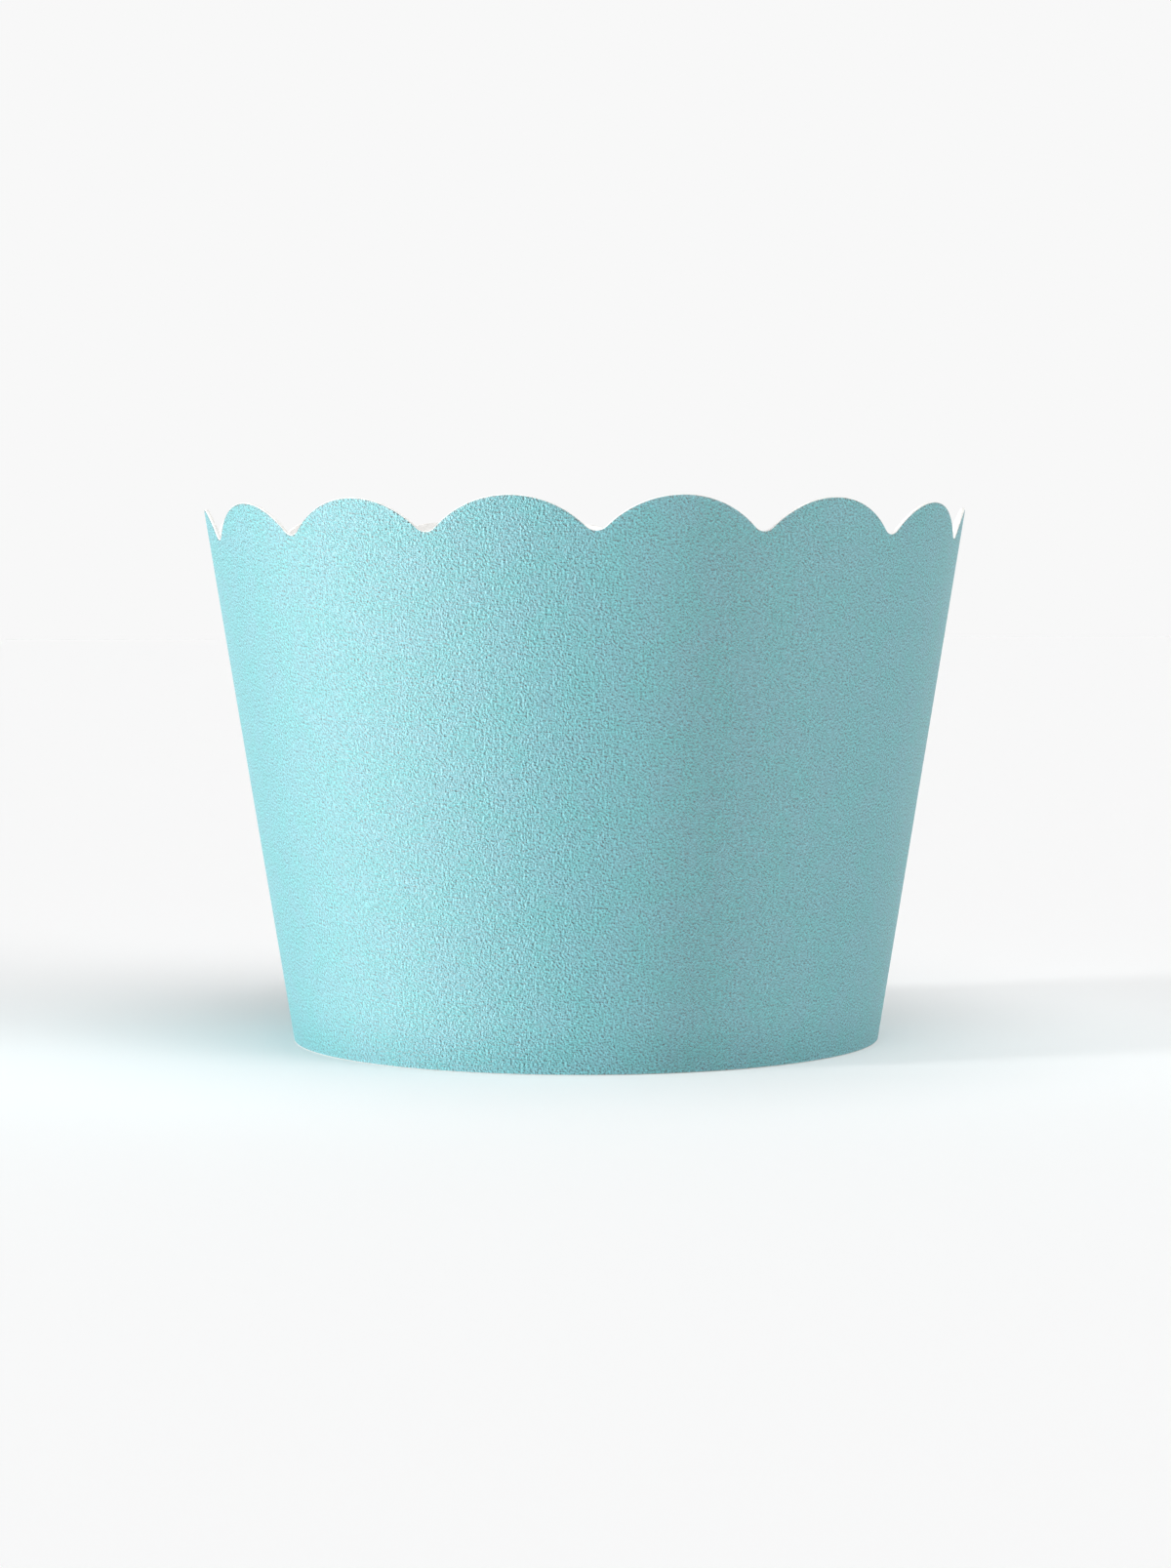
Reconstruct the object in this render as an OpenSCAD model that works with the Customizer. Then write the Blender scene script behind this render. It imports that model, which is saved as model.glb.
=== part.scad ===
// Cupcake wrapper: one strip of foil-faced card, rolled into an open cone and glued to itself.
// Millimetres, Z up. The origin is the centre of the bottom opening, and the glued lap is at the back, +Y.

/* [Overall size] */
// Height from the bottom edge to the top of a scallop
height = 50; // [40:0.5:65]
// Diameter across the outside of the bottom edge
bottom_d = 55.5; // [45:0.5:62]
// Diameter across the outside of the scallops' tops
top_d = 71.7; // [64:0.1:85]

/* [Card] */
// Thickness of the card with its foil
card_t = 0.4; // [0.3:0.05:0.8]
// Width of the glued lap, along the bottom edge
lap_w = 10; // [5:0.5:12]
// Length over which the strip climbs onto its own inner end, along the bottom edge
climb_w = 8; // [4:0.5:12]

/* [Scalloped edge] */
// Number of scallops round the top edge
scallop_count = 15; // [11:2:21]
// Height from the bottom of a notch to the top of a scallop
scallop_rise = 3; // [1.5:0.1:4]
// Radius of the rounding at the bottom of a notch
notch_r = 1.3; // [0.5:0.1:2]

/* [Hidden] */
$fn = 240;

bottom_r = bottom_d / 2;
top_r = top_d / 2;

// Growth of the radius with height, and what one thickness of the sloping card adds to the radius
flare = (top_r - bottom_r) / height;
layer = card_t / cos(atan(flare));

// The middle notch faces the front. The lap is centred on the back, and is an angle of the cone
front = -90;
back = 90;
lap_angle = lap_w / bottom_r * 180 / PI;
inner_end = back - lap_angle / 2;
outer_end = back + lap_angle / 2;

// Before its inner end the strip climbs by one layer, on an arc struck from a centre to one side.
// The arc meets the first layer where the climb starts, and lies a layer outside it at the inner end.
climb_angle = climb_w / bottom_r * 180 / PI;
climb_mid = inner_end - climb_angle / 2;
climb_shift = layer / (2 * sin(climb_angle / 2));
mid_r = (bottom_r + top_r) / 2;
climb_grow = sqrt(pow(mid_r, 2) + layer * mid_r + pow(climb_shift, 2)) - mid_r;

// Angle from which the climbing arc is drawn. It still lies within the first layer there
climb_from = inner_end - 1.4 * climb_angle;

// The shapes that are cut away run this far past the card
spare = 1;

// The scallops' arcs rise this little above the strip's straight top edge, which leaves a short flat on each
top_trim = 0.02;
arc_top = height + top_trim;
arc_rise = scallop_rise + top_trim;

// A scallop is one arc, which runs into the round bottoms of the notches beside it
pitch = 360 / scallop_count;
scallop_half_w = top_r * sin(pitch / 2);
scallop_r = (pow(scallop_half_w, 2) + pow(arc_rise, 2)) / (2 * arc_rise) - notch_r;
flat_half_w = sqrt(2 * scallop_r * top_trim);
scallop_z = arc_top - scallop_r;
notch_z = height - scallop_rise + notch_r;
join_z = notch_z - notch_r * (notch_z - scallop_z) / (scallop_r + notch_r);

// The round bottom is struck this much larger, so that its arc crosses the arcs that it runs into
notch_overlap = 0.003;

// A notch is cut from just inside the card to outside it, and reaches onto the flat at each side
notch_half_w = scallop_half_w - flat_half_w / 2;
cut_in = (top_r - layer) * cos(pitch / 2) - spare / 2;
cut_out = top_r + layer + spare;

// A solid cone with the wrapper's flare. grow is how far it lies outside the first layer of card,
// and past carries it on beyond both ends.
module flared(grow, past = 0) {
    translate([0, 0, -past])
        cylinder(h = height + 2 * past,
                 r1 = bottom_r + grow - flare * past,
                 r2 = top_r + grow + flare * past);
}

// The same cone struck from the centre from which the strip climbs onto its inner end
module climbing(grow, past = 0) {
    translate(climb_shift * [cos(climb_mid + 90), sin(climb_mid + 90), 0])
        flared(climb_grow + grow, past);
}

// The space between two angles round the axis
module sector(from, to) {
    translate([0, 0, -spare])
        linear_extrude(height = height + 2 * spare)
            polygon([[0, 0], for (a = [from, (from + to) / 2, to]) 2 * top_r * [cos(a), sin(a)]]);
}

// Outside of the rolled strip: the first layer, and over it the lap, which ends in the outer cut end
module rolled_outside() {
    flared(0);
    intersection() {
        flared(layer);
        climbing(0);
        sector(climb_from, outer_end);
    }
}

// Inside of the rolled strip: the first layer, and the wedge of air beside the inner cut end
module rolled_inside() {
    flared(-layer, spare);
    intersection() {
        climbing(-layer, spare);
        sector(climb_from, inner_end);
    }
}

// What is cut away at one notch, as an outline: across the notch and up.
// It is everything above two neighbouring scallops' arcs, and the round bottom between them.
module notch_outline() {
    difference() {
        translate([-notch_half_w, join_z])
            square([2 * notch_half_w, arc_top + spare - join_z]);
        for (side = [-1, 1])
            translate([side * scallop_half_w, scallop_z])
                circle(r = scallop_r);
    }
    translate([0, notch_z])
        circle(r = notch_r + notch_overlap);
}

// The cut at one notch, straight through the card
module notch_cut() {
    translate([cut_out, 0, 0])
        rotate([90, 0, -90])
            linear_extrude(height = cut_out - cut_in)
                notch_outline();
}

module wrapper() {
    color("#7cc0c8")
        difference() {
            rolled_outside();
            rolled_inside();
            for (i = [0 : scallop_count - 1])
                rotate([0, 0, front + i * pitch])
                    notch_cut();
        }
}

wrapper();
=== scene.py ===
"""A cupcake wrapper: one strip of foil-faced card, rolled into an open cone and glued to itself at the back.

Lengths are in metres. The wrapper stands on Z = 0 with its axis on Z, its front on -Y and its lap on +Y.
"""

import bpy
import numpy as np
from mathutils import Matrix, Vector


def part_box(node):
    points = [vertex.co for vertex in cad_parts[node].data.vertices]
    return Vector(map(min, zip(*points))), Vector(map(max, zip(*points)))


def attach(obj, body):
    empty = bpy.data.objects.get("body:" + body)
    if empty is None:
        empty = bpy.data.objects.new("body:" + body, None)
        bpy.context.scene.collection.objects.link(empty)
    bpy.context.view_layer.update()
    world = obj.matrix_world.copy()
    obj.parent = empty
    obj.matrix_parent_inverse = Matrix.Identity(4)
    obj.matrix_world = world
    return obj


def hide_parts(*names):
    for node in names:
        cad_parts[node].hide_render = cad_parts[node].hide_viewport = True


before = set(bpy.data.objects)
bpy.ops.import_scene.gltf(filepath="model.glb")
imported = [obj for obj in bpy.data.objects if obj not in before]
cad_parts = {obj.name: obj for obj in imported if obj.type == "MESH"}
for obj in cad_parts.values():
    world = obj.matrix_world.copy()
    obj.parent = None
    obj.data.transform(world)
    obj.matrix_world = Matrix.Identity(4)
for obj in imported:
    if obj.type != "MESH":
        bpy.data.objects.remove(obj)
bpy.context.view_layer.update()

# The strip
LOW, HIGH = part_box("wrapper")
HEIGHT = HIGH.z - LOW.z
BOTTOM_R = 0.02775
TOP_R = 0.03585
CARD_T = 0.0004
LAP_W = 0.010
CLIMB_W = 0.008

# The scalloped edge
SCALLOPS = 15
SCALLOP_RISE = 0.003
NOTCH_R = 0.0013

# The slope of the card, and the radius that one thickness of it takes up
FLARE = (TOP_R - BOTTOM_R) / HEIGHT
SLOPE = np.arctan(FLARE)
LAYER = CARD_T / np.cos(SLOPE)

# Angles round the axis
PITCH = 2 * np.pi / SCALLOPS
FRONT = -np.pi / 2
LAP_ANGLE = LAP_W / BOTTOM_R
CLIMB_ANGLE = CLIMB_W / BOTTOM_R
INNER_END = np.pi / 2 - LAP_ANGLE / 2
STRIP_ANGLE = 2 * np.pi + LAP_ANGLE

# The arcs of the scalloped edge
SCALLOP_HALF_W = TOP_R * np.sin(PITCH / 2)
SCALLOP_R = (SCALLOP_HALF_W**2 + SCALLOP_RISE**2) / (2 * SCALLOP_RISE) - NOTCH_R
JOIN_X = SCALLOP_HALF_W * NOTCH_R / (SCALLOP_R + NOTCH_R)

# The edges of the card, the line that the die presses along its top cut, and the glue between its layers
EDGE_ROUNDING = 0.00007
PRESSED_W = 0.00032
PRESSED_DEPTH = 0.00007
GLUE_GAP = 0.00001

# How finely the card is drawn. Columns crowd round the notches, and rows get closer towards the top.
# The pressed line's rows lie at shares of its width below the cut
HEIGHT_ROUNDS = 3
COLUMNS_PER_SCALLOP = 60
COLUMN_CROWDING = 0.6
END_CLEARANCE = 0.004
ROWS = 18
ROW_CROWDING = 1.6
ROUNDING_SHARE = 0.3
PRESSED_ROWS = np.array([1, 0.75, 0.5, 0.3])


def scallop_height(angle, layers_out):
    """Height of the cut edge at an angle round the axis.

    With x the distance across from the middle of the nearest notch, the edge is the lower arc of the notch's
    circle for |x| < JOIN_X, and the upper arc of the scallop's circle from there to the scallop's top.
    x is the radius times the sine of the angle from the notch, and the radius grows with the height found,
    so the two are worked out in turn.
    """
    turn = np.abs((angle - FRONT + PITCH / 2) % PITCH - PITCH / 2)
    z = np.full(np.shape(angle), HEIGHT)
    for _ in range(HEIGHT_ROUNDS):
        x = (BOTTOM_R + FLARE * z + layers_out * LAYER) * np.sin(turn)
        notch = HEIGHT - SCALLOP_RISE + NOTCH_R - np.sqrt(np.maximum(NOTCH_R**2 - x**2, 0))
        arc = HEIGHT - SCALLOP_R + np.sqrt(np.maximum(SCALLOP_R**2 - (SCALLOP_HALF_W - x) ** 2, 0))
        z = np.where(x < JOIN_X, notch, arc)
    return z


def smooth_step(x):
    """3x^2 - 2x^3 between 0 and 1, flat outside."""
    x = np.clip(x, 0, 1)
    return x * x * (3 - 2 * x)


def strip_columns():
    """Places along the strip, as angles unrolled from its inner end, closer together at the notches.

    u counts scallops from the front notch, and a place is u - COLUMN_CROWDING sin(2 pi u) / (2 pi), which
    crowds the places round every whole u, where a notch is. The strip's two ends are added as they are.
    """
    first = (INNER_END - FRONT) / PITCH
    last = (INNER_END + STRIP_ANGLE - FRONT) / PITCH
    scallops = np.ceil(last) - np.floor(first)
    u = np.linspace(np.floor(first), np.ceil(last), int(COLUMNS_PER_SCALLOP * scallops) + 1)
    crowded = u - COLUMN_CROWDING * np.sin(2 * np.pi * u) / (2 * np.pi)
    inside = crowded[(crowded > first + END_CLEARANCE) & (crowded < last - END_CLEARANCE)]
    return (np.concatenate([[first], inside, [last]]) - first) * PITCH


def card_strip(name):
    """The rolled strip as one closed surface.

    A point is (r cos t, r sin t, z) with t the angle round the axis. At height z the outer face of the
    first layer has r = BOTTOM_R + FLARE z. Over the climb before the inner end, r grows by one layer along a
    smooth step and stays there over the lap. The section across the card runs up the outer face, over the
    cut edge, down the inner face and back under the bottom edge, with small roundings between the faces and
    the edges. Along the top cut the foil is pressed in by the die: the burnish goes from 0 to 1 over
    PRESSED_W, and the foil lies in by PRESSED_DEPTH times its square.
    """
    s = strip_columns()
    angle = INNER_END + s
    climbed = smooth_step((s - (2 * np.pi - CLIMB_ANGLE)) / CLIMB_ANGLE)
    rise = climbed * (LAYER + GLUE_GAP) - GLUE_GAP

    # The section: depth into the card from its outer face, height as a share of the way from edge to edge,
    # and how far the roundings lie above or below that height
    edge = EDGE_ROUNDING
    corner = ROUNDING_SHARE * edge
    even = 1 - (1 - np.linspace(0, 1, ROWS)) ** ROW_CROWDING
    up = np.concatenate([even[:-1], 1 - PRESSED_W / HEIGHT * PRESSED_ROWS, [1]])
    rows = len(up) - 1
    across = np.array([corner, edge, CARD_T - edge, CARD_T - corner])
    depth = np.concatenate([np.zeros(rows + 1), across, np.full(rows + 1, CARD_T), across[::-1]])
    share = np.concatenate([up, [1, 1, 1, 1], up[::-1], [0, 0, 0, 0]])
    face_inset = edge * ((up == 0).astype(float) - (up == 1))
    edge_inset = np.array([corner, 0, 0, corner])
    inset = np.concatenate([face_inset, -edge_inset, face_inset[::-1], edge_inset])

    grid_angle = angle[:, None]
    top = scallop_height(grid_angle, (rise[:, None] - depth[None, :]) / LAYER)
    z = top * share[None, :] + inset[None, :]
    burnish = np.clip(1 - (top - z) / PRESSED_W, 0, 1)
    pressed = np.where(depth[None, :] < CARD_T / 2, PRESSED_DEPTH * burnish**2, 0)
    r = BOTTOM_R + FLARE * z + rise[:, None] - (depth[None, :] + pressed) / np.cos(SLOPE)
    points = np.stack([r * np.cos(grid_angle), r * np.sin(grid_angle), z], -1)

    # The flat sheet that the strip was cut from: the cone unrolled about its own point
    reach = (BOTTOM_R + FLARE * z) / np.sin(SLOPE)
    fan = (s - STRIP_ANGLE / 2)[:, None] * np.sin(SLOPE)
    flat = np.stack([reach * np.sin(fan), reach * np.cos(fan)], -1)

    columns, section = z.shape
    column_start = np.arange(columns - 1)[:, None] * section
    here = column_start + np.arange(section)[None, :]
    above = column_start + (np.arange(section)[None, :] + 1) % section
    walls = np.stack([here, here + section, above + section, above], -1).reshape(-1, 4)

    # Which part of the section each band of faces belongs to
    outer, cut, inner = 0, 1, 2
    inner_start = rows + 1 + len(across)
    band = np.full(section, cut)
    band[:rows] = outer
    band[inner_start:inner_start + rows] = inner

    # The two cut ends: each point of the outer half of the section is joined to the one facing it
    half = len(across) // 2
    step = np.arange(-half, rows + 1 + half)
    ring = step % section
    facing = inner_start + rows - step
    first_end = np.stack([ring[:-1], ring[1:], facing[1:], facing[:-1]], -1)
    last_end = first_end[:, ::-1] + (columns - 1) * section
    faces = np.concatenate([walls, first_end, last_end])
    part = np.concatenate([np.tile(band, columns - 1), np.full(2 * len(first_end), cut)])
    return mesh_piece(name, points.reshape(-1, 3), faces, part, flat.reshape(-1, 2), burnish.ravel())


def mesh_piece(name, points, faces, part, flat, burnish):
    """A smooth-shaded mesh of quads with a material number for each face, the flat sheet as its UV map, and
    how far each point is burnished by the die that cut the card.
    """
    mesh = bpy.data.meshes.new(name)
    mesh.vertices.add(len(points))
    mesh.vertices.foreach_set("co", points.astype(np.float32).ravel())
    mesh.loops.add(faces.size)
    mesh.loops.foreach_set("vertex_index", faces.astype(np.int32).ravel())
    mesh.polygons.add(len(faces))
    mesh.polygons.foreach_set("loop_start", np.arange(0, faces.size, 4, dtype=np.int32))
    mesh.polygons.foreach_set("material_index", part.astype(np.int32))
    mesh.polygons.foreach_set("use_smooth", np.ones(len(faces), bool))
    mesh.update(calc_edges=True)
    sheet = mesh.uv_layers.new(name="flat_sheet")
    sheet.data.foreach_set("uv", flat[faces.ravel()].astype(np.float32).ravel())
    pressed = mesh.attributes.new("burnish", "FLOAT", "POINT")
    pressed.data.foreach_set("value", burnish.astype(np.float32))
    mesh.validate()
    piece = bpy.data.objects.new(name, mesh)
    bpy.context.scene.collection.objects.link(piece)
    return piece


def add(tree, kind, settings=None, **inputs):
    """A node of the given kind. A link is given as an output socket, and anything else is a plain value."""
    node = tree.nodes.new(kind)
    for key, value in (settings or {}).items():
        setattr(node, key, value)
    for key, value in inputs.items():
        socket = node.inputs[int(key[1:])] if key[1:].isdigit() else node.inputs[key.replace("_", " ")]
        if isinstance(value, bpy.types.NodeSocket):
            tree.links.new(value, socket)
        else:
            socket.default_value = value
    return node


def math(tree, operation, *values):
    """The result of a Math node, worked out from output sockets or plain numbers."""
    inputs = {f"_{i}": value for i, value in enumerate(values)}
    return add(tree, "ShaderNodeMath", {"operation": operation}, **inputs).outputs[0]


def vector_math(tree, operation, *values, **inputs):
    """The result of a Vector Math node, worked out from output sockets or plain values."""
    inputs.update({f"_{i}": value for i, value in enumerate(values)})
    return add(tree, "ShaderNodeVectorMath", {"operation": operation}, **inputs).outputs[0]


def noise(tree, place, scale, detail, roughness):
    """A node of noise over the plane of the flat sheet."""
    return add(tree, "ShaderNodeTexNoise", {"noise_dimensions": "2D"}, Vector=place, Scale=scale,
               Detail=detail, Roughness=roughness)


def effect(name, inputs, outputs):
    """An empty node group, and its input and output nodes. Sockets are given by their labels and kinds."""
    tree = bpy.data.node_groups.new(name, "ShaderNodeTree")
    for way, sockets in (("INPUT", inputs), ("OUTPUT", outputs)):
        for label, kind in sockets.items():
            tree.interface.new_socket(label, in_out=way, socket_type="NodeSocket" + kind)
    return tree, tree.nodes.new("NodeGroupInput"), tree.nodes.new("NodeGroupOutput")


# The grain's measures are shares of a crease's length and width. For the creases' painted shade and light,
# the relief is compared with itself one step away, and at MID_HEIGHT that painted shade neither darkens nor
# lightens the foil
WANDER_SCALE = 0.35
CREASE_STEP = (0.25, 0.4, 0.0)
MID_HEIGHT = 0.5

# The values of the mottling's noise between which the first colour turns into the second
PATCH_EDGES = (0.35, 0.65)


def embossed_grain():
    """Fine uneven relief pressed into the sheet, with short wavy creases.

    The sheet is divided by the length and width of a crease, in metres, and pushed about a little by a broad
    noise. Height is a fine noise of that place, from about 0.2 to 0.8, and drives the real bump. The drop is
    the same noise at CREASE_STEP from there less Height: it is below 0 on the side of a crease that is
    painted darker and above 0 on the side that is painted lighter, as if lit from one side. Crease is a mask
    of painted shade and
    painted light: the drop, with the shaded side counted twice, plus Height less MID_HEIGHT, so hollows are
    painted darker.
    """
    tree, given, result = effect(
        "embossed_grain",
        {"Sheet": "Vector", "Crease length": "Float", "Crease width": "Float", "Waviness": "Float"},
        {"Height": "Float", "Crease": "Float"})
    cell = add(tree, "ShaderNodeCombineXYZ", X=given.outputs["Crease length"],
               Y=given.outputs["Crease width"], Z=1.0)
    place = vector_math(tree, "DIVIDE", given.outputs["Sheet"], cell.outputs[0])
    wander = noise(tree, place, scale=WANDER_SCALE, detail=1.0, roughness=0.5)
    centred = vector_math(tree, "SUBTRACT", wander.outputs["Color"], (0.5, 0.5, 0.5))
    pushed = vector_math(tree, "SCALE", centred, Scale=given.outputs["Waviness"])
    here = vector_math(tree, "ADD", place, pushed)
    beside = vector_math(tree, "ADD", here, CREASE_STEP)
    height, height_beside = [noise(tree, spot, scale=1.0, detail=3.0, roughness=0.6).outputs["Fac"]
                             for spot in (here, beside)]
    drop = math(tree, "SUBTRACT", height_beside, height)
    darker = math(tree, "ADD", drop, math(tree, "MINIMUM", drop, 0.0))
    crease = math(tree, "ADD", darker, math(tree, "SUBTRACT", height, MID_HEIGHT))
    tree.links.new(height, result.inputs["Height"])
    tree.links.new(crease, result.inputs["Crease"])
    return tree


def mottling_and_painted_shade():
    """Soft uneven patches in two colours, of the given width in metres, with painted shade in the creases
    and along the pressed line.

    The colour is multiplied by 1 + Crease times its painted shade - Burnish times its painted shade, so the
    creases' sides are painted lighter and darker.
    """
    tree, given, result = effect(
        "mottling_and_painted_shade",
        {"Sheet": "Vector", "Patch width": "Float", "First colour": "Color", "Second colour": "Color",
         "Crease": "Float", "Crease shade": "Float", "Burnish": "Float", "Burnish shade": "Float"},
        {"Colour": "Color"})
    per_patch = math(tree, "DIVIDE", 1.0, given.outputs["Patch width"])
    place = vector_math(tree, "SCALE", given.outputs["Sheet"], Scale=per_patch)
    patches = noise(tree, place, scale=1.0, detail=3.0, roughness=0.5)
    share = add(tree, "ShaderNodeMapRange", Value=patches.outputs["Fac"], From_Min=PATCH_EDGES[0],
                From_Max=PATCH_EDGES[1])
    colour = add(tree, "ShaderNodeMix", {"data_type": "RGBA"}, _0=share.outputs[0],
                 _6=given.outputs["First colour"], _7=given.outputs["Second colour"])
    # Painted shade and light of the creases
    painted_crease_shading = math(tree, "MULTIPLY", given.outputs["Crease"], given.outputs["Crease shade"])
    # Painted shade: the pressed line along the top cut is darkened
    pressed = math(tree, "MULTIPLY", given.outputs["Burnish"], given.outputs["Burnish shade"])
    kept = math(tree, "SUBTRACT", math(tree, "ADD", 1.0, painted_crease_shading), pressed)
    shaded = vector_math(tree, "SCALE", colour.outputs[2], Scale=kept)
    tree.links.new(shaded, result.inputs["Colour"])
    return tree


def surface(name, roughness, ior):
    """A material, its node tree, and its shader with its plain values set on its own sockets."""
    material = bpy.data.materials.new(name)
    material.use_nodes = True
    shader = material.node_tree.nodes["Principled BSDF"]
    shader.inputs["Roughness"].default_value = roughness
    shader.inputs["IOR"].default_value = ior
    return material, material.node_tree, shader


def embossed_material(name, colours, patch_width, crease, waviness, relief, crease_shade, roughness, ior,
                      burnish_shade=0.0, burnish_gloss=0.0):
    """A face of the card, mottled in two colours and embossed with grain. Widths and depths are in metres.

    crease is the length and width of a crease, and relief the depth of the grain. The two shades are
    painted: they say how much painted shade and light the creases put on the colour and how much painted
    shade darkens the pressed line, and burnish_gloss how much smoother the line is.
    """
    material, tree, shader = surface(name, roughness, ior)
    sheet = add(tree, "ShaderNodeUVMap", {"uv_map": "flat_sheet"})
    # The burnish share smooths the roughness, and also darkens the colour as painted shade along the top cut
    pressed = add(tree, "ShaderNodeAttribute", {"attribute_name": "burnish"})
    grain = add(tree, "ShaderNodeGroup", {"node_tree": GRAIN}, Sheet=sheet.outputs[0],
                Crease_length=crease[0], Crease_width=crease[1], Waviness=waviness)
    # The colour carries painted shade and light on the creases and painted shade along the pressed line
    tint = add(tree, "ShaderNodeGroup", {"node_tree": MOTTLING_AND_PAINTED_SHADE}, Sheet=sheet.outputs[0],
               Patch_width=patch_width, First_colour=(*colours[0], 1), Second_colour=(*colours[1], 1),
               Crease=grain.outputs["Crease"], Crease_shade=crease_shade,
               Burnish=pressed.outputs["Fac"], Burnish_shade=burnish_shade)
    bump = add(tree, "ShaderNodeBump", Strength=1.0, Distance=relief, Height=grain.outputs["Height"])
    if burnish_gloss:
        smoothed = math(tree, "MULTIPLY_ADD", pressed.outputs["Fac"], -burnish_gloss, roughness)
        tree.links.new(smoothed, shader.inputs["Roughness"])
    tree.links.new(tint.outputs["Colour"], shader.inputs["Base Color"])
    tree.links.new(bump.outputs[0], shader.inputs["Normal"])
    return material


GRAIN = embossed_grain()
MOTTLING_AND_PAINTED_SHADE = mottling_and_painted_shade()

# Teal foil, the cut edge of the card and its white back
# The crease and edge shades given here paint shade and light into the colour
teal_foil = embossed_material(
    "teal_foil", colours=((0.134, 0.446, 0.474), (0.156, 0.434, 0.484)), patch_width=0.003,
    crease=(0.00020, 0.00019), waviness=0.9, relief=0.00010, crease_shade=2.3, roughness=0.47, ior=1.90,
    burnish_shade=0.4, burnish_gloss=0.2)
cut_edge = embossed_material(
    "cut_edge", colours=((0.80, 0.79, 0.77), (0.74, 0.73, 0.70)), patch_width=0.0008,
    crease=(0.00030, 0.00012), waviness=0.8, relief=0.00001, crease_shade=0.2, roughness=0.85, ior=1.45)
card_back = embossed_material(
    "card_back", colours=((0.85, 0.84, 0.82), (0.83, 0.82, 0.80)), patch_width=0.003,
    crease=(0.00020, 0.00019), waviness=0.9, relief=0.00001, crease_shade=0.05, roughness=0.7, ior=1.45)

# The wrapper
wrapper = card_strip("foil_card_strip")
for material in (teal_foil, cut_edge, card_back):
    wrapper.data.materials.append(material)
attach(wrapper, "root")
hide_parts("wrapper")

# The camera of the photograph. Angles are in radians, and px are the photograph's pixels
CAMERA_DISTANCE = 0.30029
CAMERA_HEIGHT = 0.03828
FRAME_HEIGHT_PX = 1607
FOCAL_PX = 3236.5
HORIZON_PX = 649.8
SIDE_TURN = 0.0273
ROLL = 0.0028
SENSOR_WIDTH_MM = 36
NEAREST = 0.01
FARTHEST = 100


def camera():
    """A camera on a circle round the axis, tilted so that the horizon falls where the photograph has it."""
    data = bpy.data.cameras.new("camera")
    data.sensor_width = SENSOR_WIDTH_MM
    data.lens = data.sensor_width * FOCAL_PX / FRAME_HEIGHT_PX
    data.clip_start = NEAREST
    data.clip_end = FARTHEST
    tilt = np.arctan((FRAME_HEIGHT_PX / 2 - HORIZON_PX) / FOCAL_PX)
    place = Matrix.Translation((0, -CAMERA_DISTANCE, CAMERA_HEIGHT))
    seen_from = Matrix.Rotation(-SIDE_TURN, 4, "Z") @ place
    turned = Matrix.Rotation(np.pi / 2 - tilt, 4, "X") @ Matrix.Rotation(-ROLL, 4, "Z")
    item = bpy.data.objects.new("camera", data)
    item.matrix_world = seen_from @ turned
    bpy.context.scene.collection.objects.link(item)
    bpy.context.scene.camera = item


camera()

# The stage: half the floor's width, the brightness of floor and surroundings as the camera sees them, the
# share of light that the floor throws back up, and the light that the surroundings throw
FLOOR_HALF = 30
BACKGROUND = 0.939
FLOOR_BOUNCE = 0.40
SURROUND_LIGHT = 0.0

# Lamps: the turn from the front and the height at which each one stands, its strength, and its width.
# The angles are in degrees
LAMPS = {
    "key": ((-74, 3), 5.6, 10),
    "fill": ((60, 45), 0.50, 50),
    "right": ((58, 5), 2.10, 30),
    "back": ((180, 45), 0.33, 50),
    "front": ((8, 58), 1.00, 50),
    "top": ((0, 89), 1.175, 50),
}


def seen_directly(tree):
    """1 where the camera, gloss or clear glass looks at a surface, and 0 where it only passes light on."""
    path = add(tree, "ShaderNodeLightPath")
    near = math(tree, "MAXIMUM", path.outputs["Is Camera Ray"], path.outputs["Is Glossy Ray"])
    return math(tree, "MAXIMUM", near, path.outputs["Is Transmission Ray"])


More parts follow.
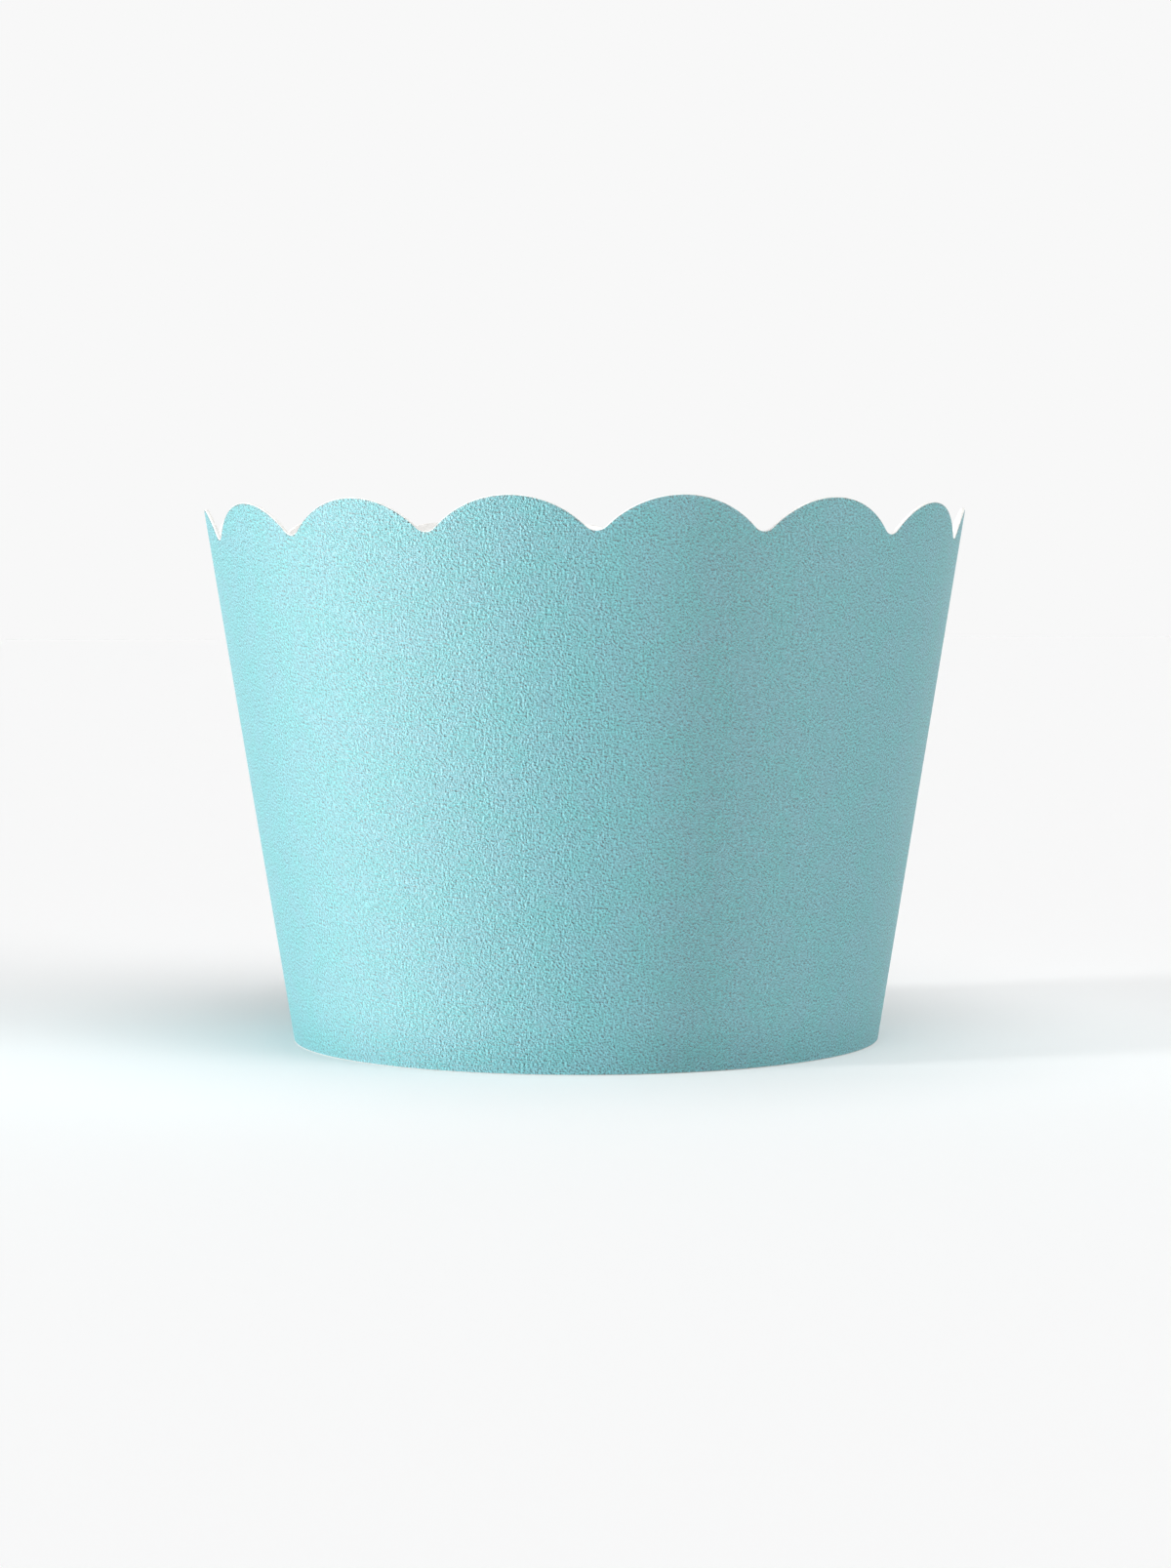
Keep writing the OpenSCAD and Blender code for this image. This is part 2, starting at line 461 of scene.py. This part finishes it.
def floor():
    """A pale floor, wide enough to reach the horizon, which throws less light back up than it shows."""
    mesh = bpy.data.meshes.new("floor")
    half = FLOOR_HALF
    corners = [(-half, -half, 0), (half, -half, 0), (half, half, 0), (-half, half, 0)]
    mesh.from_pydata(corners, [], [(0, 1, 2, 3)])
    item = bpy.data.objects.new("floor", mesh)
    bpy.context.scene.collection.objects.link(item)
    material, tree, shader = surface("pale_floor", roughness=1.0, ior=1.45)
    shade = add(tree, "ShaderNodeMapRange", Value=seen_directly(tree), To_Min=FLOOR_BOUNCE,
                To_Max=BACKGROUND)
    tree.links.new(shade.outputs[0], shader.inputs["Base Color"])
    shader.inputs["Specular IOR Level"].default_value = 0
    item.data.materials.append(material)


def sun(name, toward, strength, width):
    """A soft lamp, far away. toward is its turn from the front and its height, in degrees.

    The direction towards it is (sin turn cos height, -cos turn cos height, sin height).
    """
    data = bpy.data.lights.new(name, "SUN")
    data.energy = strength
    data.angle = np.radians(width)
    turn, up = np.radians(toward)
    place = Vector((np.sin(turn) * np.cos(up), -np.cos(turn) * np.cos(up), np.sin(up)))
    item = bpy.data.objects.new(name, data)
    item.rotation_mode = "QUATERNION"
    item.rotation_quaternion = place.to_track_quat("Z", "Y")
    item.location = place
    bpy.context.scene.collection.objects.link(item)


def surroundings():
    """An even white surround. The camera and the gloss see it as the background."""
    world = bpy.data.worlds.new("surroundings")
    world.use_nodes = True
    tree = world.node_tree
    light = tree.nodes["Background"]
    light.inputs["Color"].default_value = (1, 1, 1, 1)
    light.inputs["Strength"].default_value = SURROUND_LIGHT
    seen = tree.nodes.new("ShaderNodeBackground")
    seen.inputs["Color"].default_value = (1, 1, 1, 1)
    seen.inputs["Strength"].default_value = BACKGROUND
    mix = add(tree, "ShaderNodeMixShader", _0=seen_directly(tree), _1=light.outputs[0], _2=seen.outputs[0])
    tree.links.new(mix.outputs[0], tree.nodes["World Output"].inputs["Surface"])
    bpy.context.scene.world = world


floor()
for lamp, setting in LAMPS.items():
    sun(lamp, *setting)
surroundings()
bpy.context.scene.view_settings.view_transform = "Standard"
